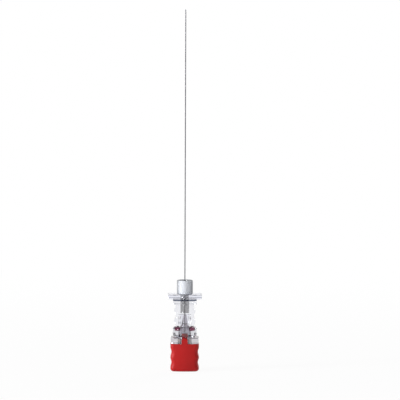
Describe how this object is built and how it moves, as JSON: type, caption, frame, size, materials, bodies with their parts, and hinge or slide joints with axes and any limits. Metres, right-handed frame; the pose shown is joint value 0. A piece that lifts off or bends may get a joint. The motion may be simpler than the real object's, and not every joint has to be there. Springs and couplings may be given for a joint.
{
  "type": "spinal needle",
  "caption": "Fine spinal needle: bevelled steel tube in a clear gripped hub with a taper socket, closed by a steel stylet on a clear plug with a red keyed handle.",
  "frame": {"origin": "middle of the flat end of the red handle, which the needle stands on", "axes": "+Z along the needle towards its point, -Y the front with the handle's tongue and the ground face of the point, X across the grip plate"},
  "size_m": [0.011, 0.0078, 0.1176],
  "materials": {
    "handle_red": "satin moulded red plastic",
    "plug_clear": "clear moulded plastic",
    "stylet_steel": "drawn stainless wire",
    "hub_clear": "clear moulded plastic, frosted on the collar",
    "glue": "set resin, smooth",
    "tube_steel": "fine drawn stainless tube, ground at the point"
  },
  "bodies": {
    "stylet": {"handle_cap": "handle_red", "stylet_plug": "plug_clear", "stylet_wire": "stylet_steel"},
    "needle": {"hub": "hub_clear", "adhesive_plug": "glue", "cannula": "tube_steel"}
  },
  "joints": [
    {"name": "stylet_withdrawal", "type": "slide", "parent": "stylet", "child": "needle", "axis": [0, 0, 1], "range_m": [0, 0.11]}
  ]
}
